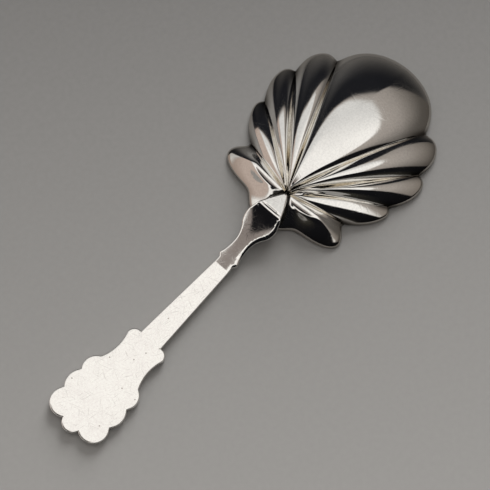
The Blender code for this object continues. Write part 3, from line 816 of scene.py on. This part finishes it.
handle_steps = [
    (0.0, 0.0, LAP_TIP_BOW),
    (LAP_TIP_LENGTH, LAP_TIP_WIDTH, LAP_EDGE_BOW),
    (LAP_EDGE_LENGTH, LAP_WIDTH, NECK_ROUND_BOW),
    (NECK_ROUND_LENGTH, NECK_ROUND_WIDTH, -NECK_TAPER_BOW),
    (NECK_TAPER_LENGTH, NECK_WAIST, -NECK_FLARE_BOW),
    (NECK_FLARE_LENGTH, SHOULDER_WIDTH, SHOULDER_BOW),
    (SHOULDER_LENGTH, SHOULDER_WIDTH, 0.0),
    (SHOULDER_STEP, STEM_FRONT_WIDTH, 0.0),
    (STEM_LENGTH, STEM_BACK_WIDTH, TAB_BOW),
    (TAB_LENGTH, TAB_WIDTH, -HOLLOW_BOW),
    (HOLLOW_LENGTH, TERMINAL_ROOT_WIDTH, SIDE_LOBE_1_BOW),
    (SIDE_LOBE_1_LENGTH, TERMINAL_NOTCH_WIDTH, SIDE_LOBE_2_BOW),
    (SIDE_LOBE_2_LENGTH, TERMINAL_NOTCH_WIDTH, CORNER_BOW),
    (CORNER_LENGTH, END_NOTCH_WIDTH, END_LOBE_BOW),
    (END_LOBE_LENGTH, 0.0, 0.0),
]
stem_step = handle_steps.index((STEM_LENGTH, STEM_BACK_WIDTH, TAB_BOW))
bend_back = sum(length for length, _, _ in handle_steps[:stem_step]) + BEND_PAST_SHOULDER
lap_tip_ground = bowl_height_at(handle_place @ Vector((-LAP_TIP_LENGTH, 0.0, 0.0)))
lap_tip_height = lap_tip_ground + SOLDER_THICKNESS + LAP_TIP_THICKNESS
crease_height = lap_tip_height + LAP_FALL


def handle_middle(back):
    """Height of the handle's back along its middle, at a distance back from the lap's tip."""
    if back <= CREASE_BACK:
        return lap_tip_height + LAP_FALL * back / CREASE_BACK
    if back >= bend_back:
        return HANDLE_THICKNESS
    length = bend_back - CREASE_BACK
    climb = (bend_back - back) / length
    foot = NECK_FOOT_SLOPE * length
    rest = crease_height - HANDLE_THICKNESS - foot
    return HANDLE_THICKNESS + foot * climb + rest * climb ** (NECK_STEEPENING + 1.0)


def filed(back):
    """How much the file has taken here: nothing at crease and bend, most on the neck between them."""
    part = min(max((back - CREASE_BACK) / (bend_back - CREASE_BACK), 0.0), 1.0)
    if part > 0.5:
        return 1.0 - (2.0 * part - 1.0) ** FILED_RUN_OUT
    return math.sqrt(math.sin(math.pi * part))


def handle_over(back, side):
    """Height of the handle's back, with its filed neck and the fine line across the lap."""
    off = (back - CREASE_BACK + CREASE_LINE_GAP) / CREASE_LINE_HALF
    ends = min(max((CREASE_LINE_REACH - abs(side)) / CREASE_LINE_FADE, 0.0), 1.0)
    line = CREASE_LINE_DEPTH * ends * math.exp(-off * off)
    neck = (NECK_HOLLOW + NECK_CROWN * side * side) * filed(back)
    return handle_middle(back) - line - neck


def edge_over(back, side, inside):
    """How far the back has dropped towards its edge: rounded on stem and lap, bevelled along the neck."""
    width = NECK_NEAR_BEVEL if side < 0.0 else NECK_FAR_BEVEL
    bevel = NECK_BEVEL_SLOPE * max(width - inside, 0.0)
    rounded = edge_drop(inside, EDGE_ROUND)
    return rounded + (bevel - rounded) * math.sqrt(filed(back))


def handle_under(back, place):
    """Height of the handle's face: on the table, on the solder, or clear of the bowl at the neck."""
    ground = bowl_height_at(place)
    if back <= SOLDER_LENGTH:
        return ground + SOLDER_THICKNESS - LAP_BEDDED
    plain = handle_middle(back) - HANDLE_THICKNESS
    return max(plain, ground + SOLDER_THICKNESS) if ground > 0.0 else plain


line_back = CREASE_BACK - CREASE_LINE_GAP
cuts_back = spread(LAP_CUT_START, CREASE_BACK, LAP_CUTS)
cuts_back += spread(line_back - 2.0 * CREASE_LINE_HALF, line_back + 2.0 * CREASE_LINE_HALF, LINE_CUTS)
cuts_back += spread(CREASE_BACK, bend_back, NECK_CUTS)[1:]
cuts_side = spread(-SIDE_CUT_REACH, SIDE_CUT_REACH, SIDE_CUTS)
handle = cut_plate("flat_handle", whole_outline(handle_steps), EDGE_RINGS, cuts_back, cuts_side)
from_edge = [mark.value for mark in handle.data.attributes["from_edge"].data]
for vert in handle.data.vertices:
    back = -vert.co.x
    inside = from_edge[vert.index]
    if vert.co.z < -0.5 * BLANK_THICKNESS:
        vert.co.z = handle_under(back, handle_place @ vert.co) + edge_drop(inside, EDGE_ROUND)
    else:
        vert.co.z = handle_over(back, vert.co.y) - edge_over(back, vert.co.y, inside)
finish_plate(handle)

HANDLE_POLISH = 0.06
HANDLE_DULLEST = 0.12
HANDLE_WAVES = 0.002 * MM
HANDLE_SILVER = (0.975, 0.96, 0.92, 1.0)
HANDLE_BLUSH = (0.88, 0.845, 0.82, 1.0)
SCRATCH_GREY = (0.66, 0.64, 0.61, 1.0)
SCRATCH_SHOWING = 0.6
PIT_GREY = (0.38, 0.35, 0.31, 1.0)
handle_material, tree, shader, marks, cloudy = silver_material(
    "flat_handle_silver", HANDLE_POLISH, HANDLE_DULLEST, HANDLE_WAVES
)
marks.inputs["Fineness"].default_value = 5200.0
marks.inputs["Length"].default_value = 420.0
marks.inputs["Sparseness"].default_value = 0.66
cloudy.inputs["Patch Scale"].default_value = 420.0
cloudy.inputs["Pit Scale"].default_value = 380.0
scored = add_node(
    tree, "ShaderNodeMath", {0: marks.outputs["Scratch"], 1: SCRATCH_SHOWING}, operation="MULTIPLY"
)
colour = laid_over(tree, cloudy.outputs["Speckle"], HANDLE_SILVER, HANDLE_BLUSH)
colour = laid_over(tree, scored.outputs[0], colour, SCRATCH_GREY)
colour = laid_over(tree, cloudy.outputs["Pits"], colour, PIT_GREY)
tree.links.new(colour, shader.inputs["Base Color"])
handle.data.materials.append(handle_material)
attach(handle, "root")
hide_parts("handle")

# Table: plain grey paper that the spoon lies on, with painted shade that darkens it towards the far side,
# where the light falls off.
# It isn't part of the object. The picture's right and far sides are turned against the spoon's own axes.
CAMERA_TURN = math.radians(46.9)
right = Vector((math.cos(CAMERA_TURN), -math.sin(CAMERA_TURN), 0.0))
far = Vector((math.sin(CAMERA_TURN), math.cos(CAMERA_TURN), 0.0))
TABLE_SIZE = 4.0
TABLE_SQUARES = 8
TABLE_NEAR = (0.372, 0.364, 0.353, 1.0)
TABLE_FAR_PAINTED_SHADE = (0.06, 0.0588, 0.0576, 1.0)
TABLE_SHADE_START = -50.0 * MM
TABLE_SHADE_END = 135.0 * MM
PAPER_ROUGHNESS = 0.7
PAPER_GRAIN = 900.0
PAPER_MOTTLING = 0.1
bpy.ops.object.select_all(action="DESELECT")
bpy.ops.mesh.primitive_grid_add(
    x_subdivisions=TABLE_SQUARES, y_subdivisions=TABLE_SQUARES, size=TABLE_SIZE, location=(0.0, 0.0, 0.0)
)
table = bpy.context.active_object
table.name = "table"
paper = bpy.data.materials.new("grey_table_paper")
paper.use_nodes = True
tree = paper.node_tree
shader = tree.nodes["Principled BSDF"]
shader.inputs["Roughness"].default_value = PAPER_ROUGHNESS
place = add_node(tree, "ShaderNodeTexCoord", {})
away = add_node(tree, "ShaderNodeVectorMath", {0: place.outputs["Object"], 1: far}, operation="DOT_PRODUCT")
shade = add_node(
    tree, "ShaderNodeMapRange",
    {"Value": away.outputs["Value"], "From Min": TABLE_SHADE_START, "From Max": TABLE_SHADE_END},
)
grain = add_node(
    tree, "ShaderNodeTexNoise", {"Vector": place.outputs["Object"], "Scale": PAPER_GRAIN, "Detail": 4.0}
)
mottled_shade = add_node(
    tree, "ShaderNodeMath", {0: grain.outputs["Fac"], 1: PAPER_MOTTLING, 2: shade.outputs[0]},
    operation="MULTIPLY_ADD",
)
# Painted shade: the paper's colour runs from the near colour to a much darker far colour, standing in for
# the light falling off across the table.
colour = laid_over(tree, mottled_shade.outputs[0], TABLE_NEAR, TABLE_FAR_PAINTED_SHADE)
tree.links.new(colour, shader.inputs["Base Color"])
table.data.materials.append(paper)

# Light: a wide white ceiling panel that reaches over to the left, in a room with a dark far wall, a dark
# near side and two small cards. Places in the room are directions seen from the spoon: tan(half the angle
# from straight up), towards the picture's right and its far side.
PANEL_RIGHT_REACH = 0.335
PANEL_FAR_REACH = 0.42
PANEL_RIM = (1.04, 0.96)
PANEL_NEAR_EDGE = -0.26
PANEL_NEAR_TURN = -0.05
PANEL_NEAR_SLANT = 0.42
PANEL_NEAR_SOFTNESS = 0.025
PANEL_LEFT_EDGE = -0.55
PANEL_LEFT_SOFTNESS = 0.06
PANEL_WHITE = (0.97, 0.95, 0.92, 1.0)
PANEL_FAR_WHITE = (0.70, 0.695, 0.68, 1.0)
PANEL_FAR_FADE = (0.14, 0.34)
LEFT_WALL = (0.49, 0.40, 0.35, 1.0)
RIGHT_WALL = (0.38, 0.345, 0.315, 1.0)
RIGHT_WALL_LOW = (0.12, 0.11, 0.10, 1.0)
RIGHT_WALL_FADE = (0.36, 0.72)
FAR_WALL_EDGE = 0.44
FAR_WALL_SOFTNESS = 0.015
FAR_WALL_DARK = (0.012, 0.0125, 0.015, 1.0)
FAR_WALL_LOW = (0.19, 0.182, 0.174, 1.0)
FAR_WALL_FADE = (0.58, 1.12)
FAR_WALL_SIDE_FADE = (-0.6, -0.05)
NEAR_DARK = (0.006, 0.006, 0.007, 1.0)
NEAR_LOW = (0.035, 0.032, 0.025, 1.0)
NEAR_FADE = (0.75, 1.05)
WARM_CARD = (0.235, 0.205, 0.19, 1.0)
WARM_CARD_PLACE = (-0.24, -0.075)
WARM_CARD_SIZE = 0.18
WARM_CARD_SOFTNESS = 0.03
BLACK_CARD_PLACE = (-0.285, -0.14)
BLACK_CARD_SIZE = 0.15
BLACK_CARD_SOFTNESS = 0.01
STRAIGHT_DOWN_GUARD = 1.02
studio = bpy.data.worlds.new("studio")
bpy.context.scene.world = studio
studio.use_nodes = True
tree = studio.node_tree
sky = tree.nodes["Background"]
toward = add_node(tree, "ShaderNodeTexCoord", {}).outputs["Generated"]


def part_along(direction):
    """How much of the way into the room goes along a direction."""
    dot = add_node(tree, "ShaderNodeVectorMath", {0: toward, 1: direction}, operation="DOT_PRODUCT")
    return dot.outputs["Value"]


def worked(operation, first, second, third=0.0):
    """The result of one sum."""
    return add_node(tree, "ShaderNodeMath", {0: first, 1: second, 2: third}, operation=operation).outputs[0]


def soft_step(value, start, end):
    """Goes smoothly from 0 at start to 1 at end, either way round."""
    tops = (0.0, 1.0) if start < end else (1.0, 0.0)
    ends = {"From Min": min(start, end), "From Max": max(start, end), "To Min": tops[0], "To Max": tops[1]}
    step = add_node(tree, "ShaderNodeMapRange", {"Value": value, **ends}, interpolation_type="SMOOTHSTEP")
    return step.outputs[0]


def soft_edge(value, edge, softness):
    """Goes from 0 to 1 over an edge, or from 1 to 0 where the softness is negative."""
    return soft_step(value, edge - softness, edge + softness)


def length_of(x, y):
    """The length of a flat vector."""
    flat = add_node(tree, "ShaderNodeCombineXYZ", {"X": x, "Y": y})
    return add_node(tree, "ShaderNodeVectorMath", {0: flat.outputs[0]}, operation="LENGTH").outputs["Value"]


def disc(place, size, softness):
    """A soft round patch of the room."""
    gap = length_of(worked("SUBTRACT", to_right, place[0]), worked("SUBTRACT", to_far, place[1]))
    return soft_edge(gap, size, -softness)


spread_out = worked("ADD", part_along((0.0, 0.0, 1.0)), STRAIGHT_DOWN_GUARD)
to_right = worked("DIVIDE", part_along(right), spread_out)
to_far = worked("DIVIDE", part_along(far), spread_out)
from_zenith = length_of(to_right, to_far)

near_turn = worked("MINIMUM", worked("SUBTRACT", to_right, PANEL_NEAR_TURN), 0.0)
slanted = worked("MULTIPLY_ADD", near_turn, -PANEL_NEAR_SLANT, to_far)
above_near = soft_edge(slanted, PANEL_NEAR_EDGE, PANEL_NEAR_SOFTNESS)
near_side = laid_over(tree, soft_step(from_zenith, *NEAR_FADE), NEAR_DARK, NEAR_LOW)
right_wall = laid_over(tree, soft_step(from_zenith, *RIGHT_WALL_FADE), RIGHT_WALL, RIGHT_WALL_LOW)
room = laid_over(tree, above_near, near_side, right_wall)

past_left = soft_edge(to_right, PANEL_LEFT_EDGE, -PANEL_LEFT_SOFTNESS)
room = laid_over(tree, worked("MULTIPLY", past_left, above_near), room, LEFT_WALL)

far_side_low = soft_step(to_right, *FAR_WALL_SIDE_FADE)
far_low = worked("MULTIPLY", soft_step(from_zenith, *FAR_WALL_FADE), far_side_low)
far_wall = laid_over(tree, far_low, FAR_WALL_DARK, FAR_WALL_LOW)
past_far = soft_edge(to_far, FAR_WALL_EDGE, FAR_WALL_SOFTNESS)
room = laid_over(tree, past_far, room, far_wall)

panel_x = worked("DIVIDE", worked("MAXIMUM", to_right, 0.0), PANEL_RIGHT_REACH)
panel_y = worked("DIVIDE", worked("MAXIMUM", to_far, 0.0), PANEL_FAR_REACH)
panel = worked("MULTIPLY", soft_step(length_of(panel_x, panel_y), *PANEL_RIM), above_near)
before_left = soft_edge(to_right, PANEL_LEFT_EDGE, PANEL_LEFT_SOFTNESS)
panel = worked("MULTIPLY", panel, before_left)
panel_white = laid_over(tree, soft_step(to_far, *PANEL_FAR_FADE), PANEL_WHITE, PANEL_FAR_WHITE)
room = laid_over(tree, panel, room, panel_white)

room = laid_over(tree, disc(WARM_CARD_PLACE, WARM_CARD_SIZE, WARM_CARD_SOFTNESS), room, WARM_CARD)
room = laid_over(tree, disc(BLACK_CARD_PLACE, BLACK_CARD_SIZE, BLACK_CARD_SOFTNESS), room, NEAR_DARK)
tree.links.new(room, sky.inputs["Color"])

# Lamp: a low soft lamp on the far side, which throws the spoon's short shadow towards the viewer.
# The silver doesn't mirror it.
LAMP_POWER = 4.8
LAMP_SIZE = 0.35
LAMP_RISE = math.radians(26.0)
LAMP_DISTANCE = 0.6
LAMP_FAR_PART = 0.95
LAMP_RIGHT_PART = 0.3
lamp = bpy.data.lights.new("far_lamp", "AREA")
lamp.energy = LAMP_POWER
lamp.size = LAMP_SIZE
far_lamp = bpy.data.objects.new("far_lamp", lamp)
bpy.context.scene.collection.objects.link(far_lamp)
lamp_side = (LAMP_FAR_PART * far + LAMP_RIGHT_PART * right).normalized()
from_lamp = -lamp_side * math.cos(LAMP_RISE) - Vector((0.0, 0.0, math.sin(LAMP_RISE)))
far_lamp.location = -LAMP_DISTANCE * from_lamp
far_lamp.rotation_euler = from_lamp.to_track_quat("-Z", "Y").to_euler()
far_lamp.visible_glossy = False

# Camera: above the near side of the table, looking down steeply at the spoon's back.
# Its lens gives the picture its scale in pixels for each millimetre on the table.
CAMERA_RISE = math.radians(71.0)
CAMERA_DISTANCE = 0.300
CAMERA_TARGET = Vector((0.08 * MM, -1.2 * MM, 0.0))
CAMERA_CLIP = 0.01
PIXELS_PER_MM = 5.1
FRAME_PIXELS = 490
SENSOR = 36.0
forward = far * math.cos(CAMERA_RISE) - Vector((0.0, 0.0, math.sin(CAMERA_RISE)))
lens = bpy.data.cameras.new("camera")
lens.sensor_width = SENSOR
lens.lens = PIXELS_PER_MM * CAMERA_DISTANCE / MM / FRAME_PIXELS * SENSOR
lens.clip_start = CAMERA_CLIP
camera = bpy.data.objects.new("camera", lens)
bpy.context.scene.collection.objects.link(camera)
camera.location = CAMERA_TARGET - forward * CAMERA_DISTANCE
camera.rotation_euler = (0.5 * math.pi - CAMERA_RISE, 0.0, -CAMERA_TURN)
bpy.context.scene.camera = camera
bpy.context.scene.view_settings.view_transform = "Standard"
